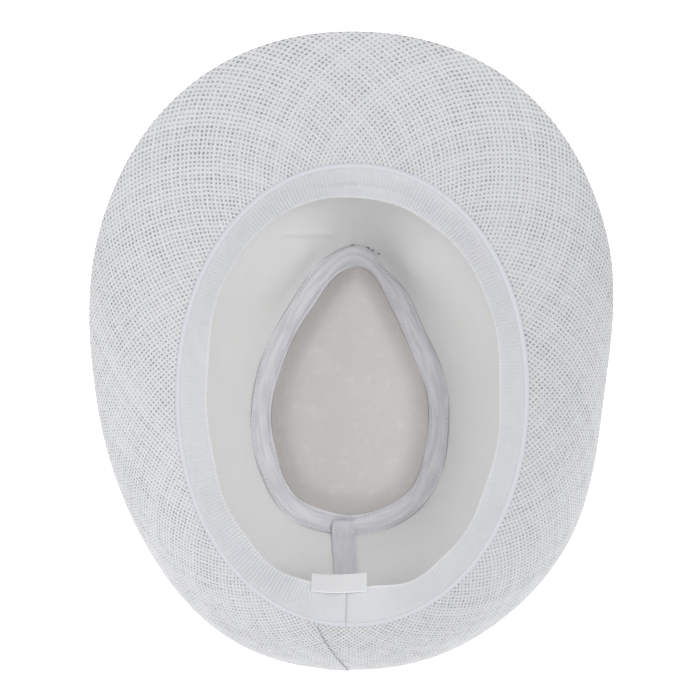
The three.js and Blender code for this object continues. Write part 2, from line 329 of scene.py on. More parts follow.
# The sweatband's hem, painted lighter as a highlight on its raised fold, and its top, lip and join.
HEM_HIGHLIGHT = (0.91, 0.915, 0.93, 1)
TOP_COLOR = (0.70, 0.705, 0.745, 1)
LIP_COLOR = (0.60, 0.605, 0.69, 1)
JOINT_COLOR = (0.6, 0.605, 0.645, 1)
# The join in the band, in millimetres of its uvs from the middle of the back.
JOINT_AT = 1.6

# The studio, in metres: each soft light's place, size and power.
FLOOR_SIZE = 8.0
FLOOR_GLOW = 0.75
WORLD_LIGHT = 0.5
SOFT_LIGHTS = [((-1.7, -0.1, 1.2), 1.2, 10.0), ((0.66, -0.15, 1.85), 1.2, 15.5)]

# The camera looks straight at the opening's plane from this far above it.
CAMERA_DISTANCE = 900
CAMERA_ACROSS = -1.2
CAMERA_FORWARD = 20.5
CAMERA_ROLL = math.radians(0.7)
VIEW_WIDTH = 316.7


def signed_power(value, power):
    return np.sign(value) * np.abs(value) ** power


def hump(value, middle, spread):
    """A smooth hump of height 1 round a middle."""
    return np.exp(-(((value - middle) / spread) ** 2))


def smooth(value, low, high):
    """A smooth step from 0 at low to 1 at high."""
    t = np.clip((value - low) / (high - low), 0, 1)
    return t * t * (3 - 2 * t)


def from_front(angle):
    """An angle as a turn from the front, up to half a turn either way."""
    return np.arctan2(np.sin(angle), np.cos(angle))


def waves(table, angle, share=0):
    """The height of a table of waves at an angle and a share across."""
    return sum(high * np.sin(count * angle + turn * share + start) for count, turn, start, high in table)


def places(x, y, z):
    """Three coordinates, of any shapes that fit together, as one array of places."""
    return np.stack(np.broadcast_arrays(x, y, z), axis=-1).astype(float)


def from_opening(across, forward, up):
    cos = math.cos(OPENING_TILT)
    sin = math.sin(OPENING_TILT)
    return places(
        MIDDLE_X + across,
        OPENING_Y + forward * cos - up * sin,
        OPENING_Z + forward * sin + up * cos,
    )


def opening(angle, outwards, up):
    """The opening's oval, moved outwards in its plane and up out of it."""
    share = 2 / OPENING_POWER
    across = OPENING_HALF_WIDTH * signed_power(np.sin(angle), share)
    forward = OPENING_HALF_LENGTH * signed_power(np.cos(angle), share)
    nx = signed_power(across / OPENING_HALF_WIDTH, OPENING_POWER - 1) / OPENING_HALF_WIDTH
    ny = signed_power(forward / OPENING_HALF_LENGTH, OPENING_POWER - 1) / OPENING_HALF_LENGTH
    length = np.hypot(nx, ny)
    return from_opening(across + nx / length * outwards, forward + ny / length * outwards, up)


def cubic(a, b, c, d, t):
    """A smooth line through four values in a row, read between the second and the third."""
    square = 2 * a - 5 * b + 4 * c - d
    cube = 3 * b - a - 3 * c + d
    return (2 * b + (c - a) * t + square * t**2 + cube * t**3) / 2


def round_curve(table, angle):
    """A smooth closed curve through places evenly spread round the hat, read at angles."""
    table = np.asarray(table, float)
    count = len(table)
    turn = np.mod(angle / FULL_TURN, 1) * count
    at = np.floor(turn).astype(int)
    t = turn - at
    if table.ndim > 1:
        t = t[..., None]
    return cubic(*(table[(at + k) % count] for k in (-1, 0, 1, 2)), t)


def crest_line(angle):
    place = round_curve(CREST_LINE, angle)
    return place[..., 0], place[..., 1]


def crest_normal(angle):
    step = 0.02
    x0, y0 = crest_line(angle - step)
    x1, y1 = crest_line(angle + step)
    length = np.hypot(x1 - x0, y1 - y0)
    return -(y1 - y0) / length, (x1 - x0) / length


def beside_crest(angle, across, up):
    """A place beside the crest's middle line: outwards along its normal, inwards towards its centre."""
    x, y = crest_line(angle)
    nx, ny = crest_normal(angle)
    spoke = (x - MIDDLE_X) * nx + (y - CREST_Y) * ny
    shrink = 1 + across / spoke
    out_x, out_y = x + nx * across, y + ny * across
    in_x, in_y = MIDDLE_X + (x - MIDDLE_X) * shrink, CREST_Y + (y - CREST_Y) * shrink
    outside = np.asarray(across) > 0
    return places(np.where(outside, out_x, in_x), np.where(outside, out_y, in_y), up)


def brim_section(angle, share):
    spread, drop, curl = np.moveaxis(round_curve(BRIM_SECTIONS, angle), -1, 0)
    handle = 2 * share * (1 - share)
    end = share * share
    return spread * (handle * (1 + curl) / 2 + end), drop * (handle * (1 - curl) / 2 + end)


def brim_place(angle, share, thickness):
    step = 0.01
    out, down = brim_section(angle, share)
    out0, down0 = brim_section(angle, share - step)
    out1, down1 = brim_section(angle, share + step)
    run, fall = out1 - out0, down1 - down0
    length = np.hypot(run, fall)
    out = GAP + out - thickness * fall / length
    return opening(angle, np.maximum(out, GAP), -down - thickness * run / length)


def under_brim(angle):
    out, down = brim_section(angle, 0.02)
    slope = down / out
    reach = np.where(slope > 0, SIDE_OUTSET + STRAW, SIDE_OUTSET)
    return BRIM_THICK * np.hypot(1, slope) + GAP + slope * reach


def pinch(angle, share):
    depth = PINCH_DEPTH * hump(np.abs(from_front(angle)), PINCH_ANGLE, PINCH_SPREAD)
    return depth * np.sin(math.pi * share**PINCH_POWER) ** 2


def side_face(angle, share):
    """The straw's inner face on the crown's side, from the opening (0) to the crest (1)."""
    top = opening(angle, SIDE_OUTSET, -under_brim(angle))
    bottom = beside_crest(angle, *CREST_INNER[0])
    nx, ny = crest_normal(angle)
    out = SIDE_BULGE * np.sin(math.pi * share) - pinch(angle, share)
    part = np.asarray(share)[..., None]
    return top + (bottom - top) * part + places(nx * out, ny * out, 0)


def side_place(angle, share, outwards):
    step = 0.02
    share = np.asarray(share, float)
    around = side_face(angle + step, share) - side_face(angle - step, share)
    down = side_face(angle, np.minimum(share + step, 1)) - side_face(angle, np.maximum(share - step, 0))
    normal = np.cross(around, down)
    normal /= np.linalg.norm(normal, axis=-1, keepdims=True)
    return side_face(angle, share) + normal * np.asarray(outwards)[..., None]


def dent_profile(offset, steps):
    """The dent's section in even steps along it, moved off by a thickness."""
    table = np.array(DENT_SECTION, float)
    fine = np.linspace(0, len(table) - 1, 200)
    inward = catmull(table[:, 0], fine)
    up = catmull(table[:, 1], fine)
    run, rise = np.gradient(inward), np.gradient(up)
    length = np.hypot(run, rise)
    inward, up = inward - offset * rise / length, up + offset * run / length
    travelled = np.concatenate([[0], np.cumsum(np.hypot(np.diff(inward), np.diff(up)))])
    even = np.linspace(0, travelled[-1], steps + 1)
    return np.interp(even, travelled, inward), np.interp(even, travelled, up)


def catmull(values, at):
    """A smooth line through values, read at fractions of their index."""
    padded = np.concatenate([[2 * values[0] - values[1]], values, [2 * values[-1] - values[-2]]])
    base = np.clip(np.floor(at).astype(int), 0, len(values) - 2)
    return cubic(*(padded[base + k] for k in range(4)), at - base)


def dent_rows(angles, offset, flank_steps, top_steps):
    """Rows of one face of the dented top, from the crest to just off its middle."""
    inward, up = dent_profile(offset, flank_steps)
    rows = [beside_crest(angles, -i, u) for i, u in zip(inward, up)]
    rim = rows[-1]
    centre = np.array([MIDDLE_X, CREST_Y, DENT_TOP + offset])
    for k in range(1, top_steps):
        share = k / top_steps
        row = rim + (centre - rim) * share
        row[:, 2] = rim[:, 2] + (centre[2] - rim[:, 2]) * (1 - (1 - share) ** 2)
        rows.append(row)
    return rows, centre


class Cloth:
    """Places and faces of a piece as it is made, with a uv at each corner of each face."""

    def __init__(self):
        self.places = []
        self.faces = []
        self.uvs = []
        self.count = 0

    def add(self, grid):
        """Adds a grid of places and gives the grid of their numbers."""
        flat = grid.reshape(-1, 3)
        index = self.count + np.arange(len(flat)).reshape(grid.shape[:-1])
        self.places.append(flat)
        self.count += len(flat)
        return index

    def add_faces(self, corners, corner_uvs):
        index = np.stack(corners, axis=-1)
        uv = np.stack(corner_uvs, axis=-2)
        self.faces.append(index.reshape(-1, len(corners)))
        self.uvs.append(uv.reshape(-1, 2))

    def quads(self, index, uv):
        """One face between each four neighbours of a grid."""
        self.add_faces(four_corners(index), four_corners(uv))

    def crossed(self, index, uv, centres):
        """Four triangles between each four neighbours of a grid and the place in their middle."""
        corners = four_corners(index)
        uvs = four_corners(uv)
        middle = sum(uvs) / 4
        for k in range(4):
            after = (k + 1) % 4
            self.add_faces([corners[k], corners[after], centres], [uvs[k], uvs[after], middle])

    def fan(self, pole, pole_uv, ring, ring_uv):
        """Triangles from one place to a closed ring."""
        poles = np.full(len(ring) - 1, pole)
        pole_uvs = np.broadcast_to(pole_uv, (len(ring) - 1, 2))
        self.add_faces([poles, ring[:-1], ring[1:]], [pole_uvs, ring_uv[:-1], ring_uv[1:]])

    def signed_volume(self, places):
        total = 0.0
        for faces in self.faces:
            corners = places[faces]
            for k in range(1, faces.shape[1] - 1):
                edge = np.cross(corners[:, k], corners[:, k + 1])
                total += np.einsum("ij,ij->", corners[:, 0], edge)
        return total

    def make(self, name, material):
        """The piece as an object whose faces point out."""
        places = np.concatenate(self.places)
        faces = [face for group in self.faces for face in group.tolist()]
        uvs = np.concatenate(self.uvs)
        if self.signed_volume(places) < 0:
            sizes = [len(face) for face in faces]
            starts = np.cumsum(sizes) - sizes
            turned = [start + np.arange(size)[::-1] for start, size in zip(starts, sizes)]
            faces = [face[::-1] for face in faces]
            uvs = uvs[np.concatenate(turned)]
        mesh = bpy.data.meshes.new(name)
        mesh.from_pydata((places * MM).tolist(), [], faces)
        mesh.polygons.foreach_set("use_smooth", [True] * len(faces))
        layer = mesh.uv_layers.new(name="cloth")
        layer.data.foreach_set("uv", uvs.astype(np.float32).ravel())
        mesh.materials.append(material)
        mesh.update()
        mesh.set_sharp_from_angle(angle=SHARP_FROM)
        piece = bpy.data.objects.new(name, mesh)
        bpy.context.scene.collection.objects.link(piece)
        return piece


def four_corners(grid):
    return [grid[:-1, :-1], grid[:-1, 1:], grid[1:, 1:], grid[1:, :-1]]


def joined_round(index, uv, turn):
    """A ring's grid with its first column again at the end, one full turn further in u."""
    again = uv[:, :1] + np.array([turn, 0.0])
    return np.concatenate([index, index[:, :1]], axis=1), np.concatenate([uv, again], axis=1)


def grid_uv(us, vs):
    """A uv for each row (v) and column (u)."""
    u, v = np.meshgrid(us, vs)
    return np.stack([u, v], axis=-1)


def even_angles(count, line=None):
    """Angles from the back all round, at even distances along a line such as the opening's oval."""
    fine = math.pi + np.linspace(0, FULL_TURN, 2881)
    at = opening(fine, 0, 0) if line is None else line(fine)
    travelled = np.concatenate([[0], np.cumsum(np.linalg.norm(np.diff(at, axis=0), axis=1))])
    return np.interp(np.arange(count) * travelled[-1] / count, travelled, fine)


def even_crest_angles(count):
    """Angles from the back all round, at even distances along the crest."""
    return even_angles(count, lambda angle: places(*crest_line(angle), 0))


def ring_wall(name, material, angles, outer, inner, vs, turn):
    """A closed wall round the hat from the rows of its two faces, each a list of places by angle."""
    cloth = Cloth()
    rows = np.stack([*outer, *inner[::-1]])
    index = cloth.add(rows)
    us = np.arange(len(angles)) * turn / len(angles)
    uv = grid_uv(us, np.asarray(vs, float))
    index, uv = joined_round(index, uv, turn)
    cloth.quads(index, uv)
    cloth.quads(index[[-1, 0]], uv[[-1, 0]])
    return cloth.make(name, material)


def add_piece(piece, slot, *nodes):
    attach(piece, "root")
    if nodes:
        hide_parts(*nodes)


def weave_lift(rng, rows, columns):
    """The weave's relief at a lattice's nodes: yarns cross at the even ones, holes at the odd ones."""
    parity = np.add.outer(np.arange(rows), np.arange(columns)) % 2
    lift = np.where(parity == 0, YARN_LIFT, -HOLE_DEPTH)
    return lift * (1 + UNEVENNESS * rng.uniform(-1, 1, lift.shape))


def spaced_shares(periods, widening):
    """Shares of the width at half periods, spaced so that the weave's squares stay square."""
    at = np.arange(2 * periods + 1) / (2 * periods)
    return ((1 + widening) ** at - 1) / widening


def woven_face(cloth, place, angles, shares, turns, rng):
    """One woven face's lattice: the numbers of its nodes, their uvs, and of the places between them."""
    columns = len(angles)
    lift = weave_lift(rng, len(shares), columns)
    nodes = place(angles[None, :], shares[:, None], lift)
    after = np.concatenate([angles[1:], [angles[0] + FULL_TURN]])
    mid_angles = (angles + after) / 2
    mid_shares = (shares[1:] + shares[:-1]) / 2
    centres = place(mid_angles[None, :], mid_shares[:, None], np.zeros((len(mid_shares), columns)))
    index = cloth.add(nodes)
    uv = grid_uv(np.arange(columns) / 2, np.arange(len(shares)) / 2)
    index, uv = joined_round(index, uv, turns)
    return index, uv, cloth.add(centres)


def seam_angle(share):
    return math.pi + SEAM_START * np.clip(1 - share, 0, 1) ** SEAM_BEND


def seam_lap(angle, share):
    """How far the brim's end that lies on top at the join stands proud, in millimetres."""
    past = (np.mod(angle, FULL_TURN) - seam_angle(share)) * SEAM_REACH
    rise = SEAM_LIFT * smooth(past, -SEAM_STEP, SEAM_STEP)
    return rise * (1 - smooth(past, SEAM_WIDTH, 2 * SEAM_WIDTH))


def off_edge(share):
    """How much of the weave's relief is left near the brim's edge, which is pressed flat."""
    return 1 - PRESSED * smooth(share, PRESSED_FROM, 1)


def brim_top(angle, share, lift):
    return brim_place(angle, share, -(lift * off_edge(share) + seam_lap(angle, share)))


def brim_bottom(angle, share, lift):
    return brim_place(angle, share, BRIM_THICK + lift * off_edge(share))


def make_brim(material):
    """Two woven faces, a rounded edge between them and a plain end."""
    rng = np.random.default_rng(BRIM_SEED)
    cloth = Cloth()
    angles = even_angles(2 * BRIM_TURNS, lambda angle: brim_place(angle, BRIM_EVEN_AT, 0))
    shares = spaced_shares(BRIM_PERIODS, BRIM_WIDENING)
    top, uv, top_centres = woven_face(cloth, brim_top, angles, shares, BRIM_TURNS, rng)
    bottom, _, bottom_centres = woven_face(cloth, brim_bottom, angles, shares, BRIM_TURNS, rng)
    cloth.crossed(top, uv, top_centres)
    cloth.crossed(bottom[::-1], uv[::-1], bottom_centres[::-1])
    aside = [0, EDGE_PERIOD]
    edge_places = brim_place(angles, BRIM_EDGE, BRIM_THICK / 2)
    edge, edge_uv = joined_round(cloth.add(edge_places[None, :]), uv[-1:, :-1] + aside, BRIM_TURNS)
    rim_uv = np.concatenate([uv[-1:], edge_uv, uv[-1:]])
    cloth.quads(np.concatenate([top[-1:], edge, bottom[-1:]]), rim_uv)
    cloth.quads(np.concatenate([bottom[:1], top[:1]]), np.concatenate([uv[:1] - aside, uv[:1]]))
    add_piece(cloth.make("woven_brim", material), "straw", "brim")


def side_outer(angle, share, lift):
    return side_place(angle, share, STRAW + lift)


def make_crown_side(material):
    """The woven side, its rounded crest, and a plain inner face that the lining hides."""
    rng = np.random.default_rng(SIDE_SEED)
    cloth = Cloth()
    angles = even_angles(2 * SIDE_TURNS)
    shares = spaced_shares(SIDE_PERIODS, SIDE_NARROWING) * SIDE_END
    face, uv, centres = woven_face(cloth, side_outer, angles, shares, SIDE_TURNS, rng)
    cloth.crossed(face, uv, centres)
    crest = crest_rows(CREST_OUTER, angles, CREST_STEPS)
    crest += weave_lift(rng, *crest.shape[:2])[..., None] * crest_outwards(crest)
    inside = crest_rows(CREST_INNER, angles, CREST_INNER_STEPS)[::-1]
    inner_shares = np.linspace(SIDE_END, 0, SIDE_INNER_ROWS)
    inner = np.stack([side_place(angles, share, 0) for share in inner_shares])
    rest = np.concatenate([crest, inside, inner])
    vs = uv[-1, 0, 1] + 0.5 + np.arange(len(rest)) / 2
    rest_uv = grid_uv(np.arange(len(angles)) / 2, vs)
    rest, rest_uv = joined_round(cloth.add(rest), rest_uv, SIDE_TURNS)
    cloth.quads(np.concatenate([face[-1:], rest]), np.concatenate([uv[-1:], rest_uv]))
    cloth.quads(np.concatenate([rest[-1:], face[:1]]), np.concatenate([uv[:1] - [0, 0.5], uv[:1]]))
    add_piece(cloth.make("woven_crown_side", material), "straw", "crown_side")


def crest_rows(section, angles, steps):
    """Rows of places along one face of the crest's section, smooth between its corners."""
    table = np.array(section, float)
    at = np.linspace(0, len(table) - 1, steps + 1)
    across = catmull(table[:, 0], at)
    up = np.maximum(catmull(table[:, 1], at), table[:, 1].min())
    return np.stack([beside_crest(angles, a, u) for a, u in zip(across, up)])


def crest_outwards(rows):
    """The direction out of the crest's rows, never up, as long as the relief is strong."""
    along = np.gradient(rows, axis=0)
    around = np.roll(rows, -1, axis=1) - np.roll(rows, 1, axis=1)
    normal = np.cross(around, along)
    normal /= np.linalg.norm(normal, axis=-1, keepdims=True)
    points_up = normal[..., 2:] > 0
    return np.where(points_up, -normal, normal) * RELIEF_AT_CREST


def dent_wall(name, material, lower, upper):
    """The dented top between two faces, with uvs in millimetres seen from above."""
    cloth = Cloth()
    angles = even_crest_angles(DENT_COLUMNS)
    faces = []
    for offset in (upper, lower):
        rows, centre = dent_rows(angles, offset, DENT_FLANK_STEPS, DENT_TOP_STEPS)
        grid = np.stack(rows)
        pole = cloth.add(centre[None, :])
        closed = joined_round(cloth.add(grid), grid[..., :2], 0)
        faces.append((*closed, pole[0], centre[:2]))
    (top, top_uv, top_pole, top_at), (low, low_uv, low_pole, low_at) = faces
    cloth.quads(top, top_uv)
    cloth.quads(low[::-1], low_uv[::-1])
    cloth.fan(top_pole, top_at, top[-1], top_uv[-1])
    cloth.fan(low_pole, low_at, low[-1][::-1], low_uv[-1][::-1])
    cloth.quads(np.concatenate([low[:1], top[:1]]), np.concatenate([low_uv[:1], top_uv[:1]]))
    return cloth.make(name, material)


def make_crown_tip(material):
    add_piece(dent_wall("woven_crown_tip", material, -STRAW, 0.0), "straw", "crown_tip")


def make_tip_lining(material):
    add_piece(dent_wall("tip_lining_cloth", material, GAP, GAP + LINING), "lining", "tip_lining")


def lining_waves(angle, share):
    """How far the side lining stands in from the straw in its soft folds, in millimetres."""
    soft = LINING_WAVES_MEAN + waves(LINING_WAVES, angle, share)
    along = (from_front(angle) - CREASE_FROM) / (CREASE_TO - CREASE_FROM)
    line = CREASE_FROM_SHARE + (CREASE_TO_SHARE - CREASE_FROM_SHARE) * along
    crease = hump(share, line, CREASE_SPREAD) * smooth(along, -0.1, 0.2) * (1 - smooth(along, 0.8, 1.1))
    return soft * np.sin(math.pi * share) + CREASE_LIFT * crease


def make_side_lining(material):
    angles = even_angles(LINING_COLUMNS)
    shares = np.linspace(LINING_FROM, 1, LINING_ROWS)
    inner = []
    outer = []
    for share in shares:
        inner.append(side_place(angles, share, -GAP - LINING - lining_waves(angles, share)))
        outer.append(side_place(angles, share, -GAP))
    for (across_in, up_in), (across_out, up_out) in zip(LINING_FOOT_INNER, LINING_FOOT_OUTER):
        inner.append(beside_crest(angles, across_in, up_in))
        outer.append(beside_crest(angles, across_out, up_out))
    downs = np.concatenate([shares * SIDE_HEIGHT, SIDE_HEIGHT + np.array([3, 6, 9])])
    vs = np.concatenate([downs, downs[::-1]])
    piece = ring_wall("side_lining_cloth", material, angles, outer, inner, vs, HEAD_ROUND)
    add_piece(piece, "lining", "side_lining")


def sweatband_place(angle, down, inwards):
    lean = np.radians(round_curve(SWEATBAND_LEAN, angle))
    out = -down * np.sin(lean) - inwards * np.cos(lean)
    up = GAP - down * np.cos(lean) + inwards * np.sin(lean)
    return opening(angle, out, up)


def sweatband_waver(angle):
    """How far the free edge leans further in, in shallow scallops mostly at the back."""
    back = 0.5 - 0.5 * np.cos(angle)
    return (WAVER_IN_FRONT + WAVER_MORE_BEHIND * back) * waves(WAVER, angle)


def sweatband_relief(angles, down):
    """The ribbed inner face: ribs across the band, a crease along its middle and a hem at its edge."""
    ribs = np.cos(np.arange(len(angles)) * FULL_TURN / RIB_COLUMNS)
    strength = round_curve(RIB_STRENGTH, angles)
    hem_from = SWEATBAND_WIDTH - HEM_WIDTH
    fade = smooth(down, 0, RIB_FADE) * (1 - smooth(down, hem_from, SWEATBAND_WIDTH))
    front = hump(from_front(angles), 0, BAND_CREASE_SPREAD)
    crease = BAND_CREASE_DEPTH * front * hump(down, SWEATBAND_WIDTH * BAND_CREASE_AT, BAND_CREASE_HALF)
    hem = HEM_LIFT * smooth(down, hem_from - HEM_SLOPE, hem_from)
    return RIB_DEPTH * ribs * strength * fade - crease + hem + band_joint(angles)


def band_joint(angles):
    """The band's end that lies over its start, left of the middle at the back."""
    past = (np.mod(angles, FULL_TURN) - JOINT_ANGLE) * OPENING_REACH
    return JOINT_LIFT * smooth(past, -JOINT_STEP, JOINT_STEP) * (1 - smooth(past, 1.5, 7))


def make_sweatband(material):
    angles = even_angles(RIBS * RIB_COLUMNS)
    downs = np.linspace(0, SWEATBAND_WIDTH, SWEATBAND_ROWS)
    lip = (LIP_SHARE, LIP_SHARE / 2)
    inner = [brim_place(angles, share, -LIP_LIFT - LIP_THICK) for share in lip]
    outer = [brim_place(angles, share, -LIP_LIFT) for share in lip]
    for down in downs:
        waver = sweatband_waver(angles) * (down / SWEATBAND_WIDTH) ** 2
        face = SWEATBAND_THICK + sweatband_relief(angles, down) + waver
        inner.append(sweatband_place(angles, down, face))
        outer.append(sweatband_place(angles, down, waver))
    downs = np.concatenate([[-2, -1], downs])
    vs = np.concatenate([downs, downs[::-1]])
    piece = ring_wall("ribbed_sweatband", material, angles, outer, inner, vs, HEAD_ROUND)
    add_piece(piece, "sweatband", "sweatband")


def tape_relief(angle, share):
    """The tape's folds: raised edges, a soft fold along it that wanders, puckers and a knot."""
    line = 0.42 + waves(TAPE_WANDER, angle)
    turned = np.mod(angle, FULL_TURN)
    fold = (0.4 + 0.55 * hump(turned, TAPE_FOLD_ANGLE, 0.9)) * hump(share, line, 0.13)
    edges = 0.3 * (hump(share, 0.12, 0.05) + hump(share, 0.88, 0.05))
    puckers = waves(TAPE_PUCKERS, angle, share)
    knot = 0.9 * hump(turned, KNOT_ANGLE, 0.05) * (0.4 + 0.6 * share)
    return fold + edges + puckers * smooth(share, 0, 0.2) * (1 - smooth(share, 0.8, 1)) + knot


def tape_line():
    """The tape's lower face in fine steps across it: how far across and how high."""
    table = np.array(TAPE_SECTION, float)
    at = np.linspace(0, len(table) - 1, TAPE_STEPS + 1)
    return catmull(table[:, 0], at), catmull(table[:, 1], at)


def on_tape(angles, share):
    """A place on the tape's lower face by its share across: how far across and how high."""
    line_across, line_up = tape_line()
    across = np.interp(share * TAPE_STEPS, np.arange(TAPE_STEPS + 1), line_across)
    wavy = waves(TAPE_WAVY_EDGES, angles, share) * abs(2 * share - 1)
    pulled = TAPE_PULLED_IN * (1 - share) + TAPE_PULLED_OUT * share
    narrow = hump(np.mod(angles, FULL_TURN), TAPE_NARROW_ANGLE, TAPE_NARROW_SPREAD)
    across = across + wavy - pulled * narrow
    return across, np.interp(across, line_across[::-1], line_up[::-1])


def make_tip_tape(material):
    angles = even_crest_angles(TAPE_COLUMNS)
    lower = []
    upper = []
    for k in range(TAPE_STEPS + 1):
        share = k / TAPE_STEPS
        across, up = on_tape(angles, share)
        lower.append(beside_crest(angles, across, up))
        body = smooth(share, 0, TAPE_EDGE_SHARE) * (1 - smooth(share, 1 - TAPE_EDGE_SHARE, 1))
        proud = TAPE + np.maximum(tape_relief(angles, share), 0) - TAPE_EDGE_THICK
        lifted = up + TAPE_EDGE_THICK + body * proud
        upper.append(beside_crest(angles, across * TAPE_TOP_SCALE, lifted))
    widths = np.linspace(0, TAPE_WIDTH, TAPE_STEPS + 1)
    vs = np.concatenate([widths, widths[::-1]])
    piece = ring_wall("teardrop_tape", material, angles, lower, upper, vs, TAPE_ROUND)
    add_piece(piece, "tape", "tip_seam_tape")


def strip_wall(name, material, inner, outer, us, vs):
    """A strip of cloth between two grids of places."""
    cloth = Cloth()
    uv = grid_uv(us, vs)
    top = cloth.add(inner)
    low = cloth.add(outer)
    cloth.quads(top, uv)
    cloth.quads(low[::-1], uv[::-1])
    for edge, way in ((np.s_[:1], 1), (np.s_[-1:], -1)):
        rows = np.concatenate([low[edge], top[edge]])
        cloth.quads(rows[::way], np.concatenate([uv[edge], uv[edge]]))
    for edge, way in ((np.s_[:, :1], 1), (np.s_[:, -1:], -1)):
        columns = np.concatenate([low[edge], top[edge]], axis=1)
        cloth.quads(columns[:, ::way], np.concatenate([uv[edge], uv[edge]], axis=1))
    return cloth.make(name, material)


def make_back_tape(material):
    half = BACK_TAPE_WIDTH / 2
    from_middle = np.linspace(-half, half, BACK_TAPE_COLUMNS)
    across = BACK_TAPE_ACROSS + from_middle
    shares = np.linspace(BACK_TAPE_FROM, BACK_TAPE_TO, BACK_TAPE_ROWS)
    lies = -GAP - LINING - GAP

    def face(offset):
        grid = []
        for share in shares:
            reach = side_face(np.array(math.pi / 2), np.array(share))[0] - MIDDLE_X
            edges = 0.3 * hump(np.abs(from_middle / half), 0.85, 0.12)
            lift = edges if offset < lies else np.zeros(len(across))
            leaning = across + BACK_TAPE_LEAN * min(1 - share, BACK_TAPE_LEANS_TO)
            row = side_place(math.pi - leaning / reach, share, offset - lift)
            row[:, 0] = MIDDLE_X + leaning
            grid.append(row)
        for (out, up), narrower in zip(BACK_TAPE_END, BACK_TAPE_ROUNDED):
            narrowed = across + narrower * (half - from_middle)
            row = beside_crest(math.pi - narrowed / CREST_REACH, out, up + lies - offset)
            row[:, 0] = MIDDLE_X + narrowed
            grid.append(row)
        return np.stack(grid)

    vs = np.concatenate([shares, 1 + 0.02 * np.arange(len(BACK_TAPE_END))]) * SIDE_HEIGHT
    piece = strip_wall("back_tape", material, face(lies - TAPE), face(lies), across, vs)
    add_piece(piece, "tape", "back_seam_tape")


def make_label(material):
    lies = SWEATBAND_THICK + LABEL_GAP
    half = LABEL_WIDTH / 2
    across = np.linspace(LABEL_ACROSS - half, LABEL_ACROSS + half, LABEL_COLUMNS)
    downs = np.linspace(LABEL_TOP, LABEL_TOP + LABEL_HEIGHT, LABEL_ROWS)

    def face(inwards):
        grid = []
        for straight in downs:
            down = straight + LABEL_TILT * (across - LABEL_ACROSS) / half
            narrowed = OPENING_HALF_WIDTH - down * math.sin(math.radians(SWEATBAND_LEAN[6]))
            turn = np.arcsin(signed_power(across / narrowed, OPENING_POWER / 2))
            out = LABEL_CURL * ((across - LABEL_ACROSS) / half) ** 2 * (down - LABEL_TOP) / LABEL_HEIGHT
            row = sweatband_place(math.pi - turn, down, inwards + out)
            row[:, 0] = MIDDLE_X + across
            grid.append(row)
        return np.stack(grid)

    upper = face(lies + LABEL_THICK)
    piece = strip_wall("woven_label", material, upper, face(lies), across, downs)
    add_piece(piece, "label", "label")


def thread(cloth, start, end, normal, radius, lift):
    """One stitch: a rounded tube that comes out of the cloth, arches over it and goes in again."""
    along = end - start
    side = np.cross(normal, along)
    side /= np.linalg.norm(side)
    at = np.linspace(0, 1, THREAD_RINGS)
    rise = lift * np.sin(math.pi * at) - radius * 0.5
    middle = start + at[:, None] * along + normal * rise[:, None]
    width = radius * np.sqrt(np.clip(1 - (2 * at - 1) ** 6, 0.08, 1))
    turn = np.arange(THREAD_SIDES) * FULL_TURN / THREAD_SIDES
    ring = np.cos(turn)[None, :, None] * side + np.sin(turn)[None, :, None] * normal
    grid = middle[:, None, :] + ring * width[:, None, None]
    uv = grid_uv(np.arange(THREAD_SIDES), at)
    index, uv = joined_round(cloth.add(grid), uv, THREAD_SIDES)
    cloth.quads(index, uv)
    ends = ((index[0], uv[0], grid[0]), (index[-1][::-1], uv[-1][::-1], grid[-1]))
    for end_index, end_uv, place in ends:
        pole = cloth.add(place.mean(axis=0)[None, :])
        cloth.fan(pole[0], end_uv[0], end_index[::-1], end_uv[::-1])


def stitch_row(name, material, starts, ends, normals, radius, lift):
    cloth = Cloth()
    for start, end, normal in zip(starts, ends, normals):
        thread(cloth, start, end, normal / np.linalg.norm(normal), radius, lift)
    return cloth.make(name, material)


def make_join_stitches(material):
    """The line of stitches that holds the sweatband to the brim, round the opening."""
    angles = even_angles(int(HEAD_ROUND / JOIN_PITCH))
    half = JOIN_LENGTH / 2 / OPENING_REACH
    starts = brim_place(angles - half, LIP_SHARE, -LIP_LIFT - LIP_THICK)
    ends = brim_place(angles + half, LIP_SHARE, -LIP_LIFT - LIP_THICK)
    up = opening(angles, 0, 1) - opening(angles, 0, 0)
    piece = stitch_row("sweatband_stitches", material, starts, ends, up, JOIN_RADIUS, STITCH_LIFT)
    add_piece(piece, "sweatband")


def make_tape_stitches(material):
    """Stitches along both edges of the tape over the crown's seam."""
    angles = even_crest_angles(TAPE_STITCHES)
    half = FULL_TURN / TAPE_STITCHES * 0.32
    starts = []
    ends = []
    for share in TAPE_STITCH_SHARES:
        for turn, kept in ((-half, starts), (half, ends)):
            across, up = on_tape(angles + turn, share)
            kept.append(beside_crest(angles + turn, across * TAPE_TOP_SCALE, up + TAPE + STITCH_LIFT))
    starts = np.concatenate(starts)
    ends = np.concatenate(ends)
    normals = np.broadcast_to([0.0, 0.0, 1.0], starts.shape)
    piece = stitch_row("tape_stitches", material, starts, ends, normals, FINE_THREAD, 0.2)
    add_piece(piece, "tape")


def make_loose_threads(material):
    """A few dark thread ends that stick out beside the tape's nose."""
    angles = np.radians(LOOSE_THREADS)
    starts = beside_crest(angles - LOOSE_TURN / 2, 5.1, 7.7)
    ends = beside_crest(angles + LOOSE_TURN / 2, 5.3, 8.1)
    normals = np.broadcast_to([0.0, -0.5, 1.0], starts.shape)
    piece = stitch_row("loose_threads", material, starts, ends, normals, 0.25, 0.5)
    add_piece(piece, "tape")


